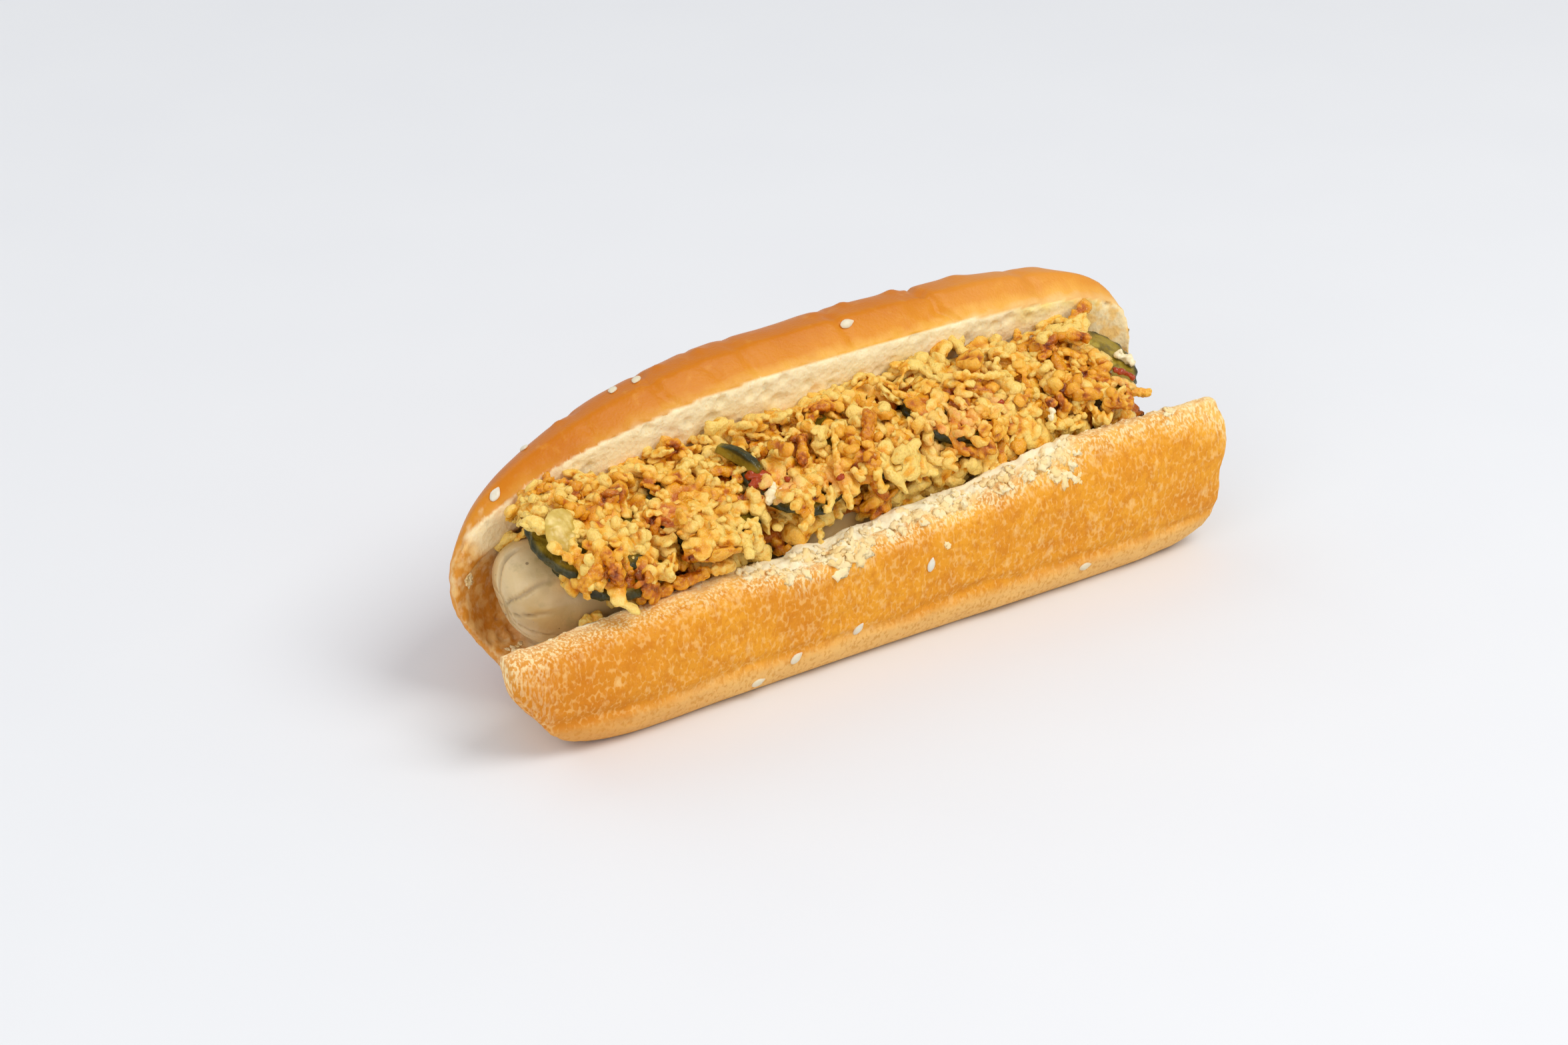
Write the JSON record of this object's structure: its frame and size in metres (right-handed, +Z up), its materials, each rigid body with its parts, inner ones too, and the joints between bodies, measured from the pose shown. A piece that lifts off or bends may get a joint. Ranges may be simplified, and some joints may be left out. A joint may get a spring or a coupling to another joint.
{
  "type": "hot dog",
  "caption": "Sausage in a long soft bun that opens upwards, under pickle slices and a heap of fried onions, with the bun's flat side to the front.",
  "frame": {"origin": "under the middle of the whole, on the table", "axes": "+X along the bun to its squarer end, +Y from the bun's front half to its domed back half, +Z up"},
  "size_m": [0.1788, 0.0616, 0.0586],
  "materials": {
    "crust": "soft glossy baked crust",
    "sausage": "smooth moist skin",
    "pickle": "wet and glossy",
    "pale_flake": "wet and slightly clear",
    "fried_onion": "rough and crisp"
  },
  "bodies": {
    "root": {"bun": "crust", "sausage": "sausage", "pickle_slice_1": "pickle", "pickle_slice_2": "pickle", "pickle_slice_3": "pickle", "pickle_slice_4": "pickle", "pickle_slice_5": "pickle", "pickle_slice_6": "pickle", "pickle_slice_7": "pickle", "pickle_slice_8": "pickle", "pickle_strip": "pickle", "pale_flake": "pale_flake", "onion_heap": "fried_onion"}
  },
  "joints": []
}
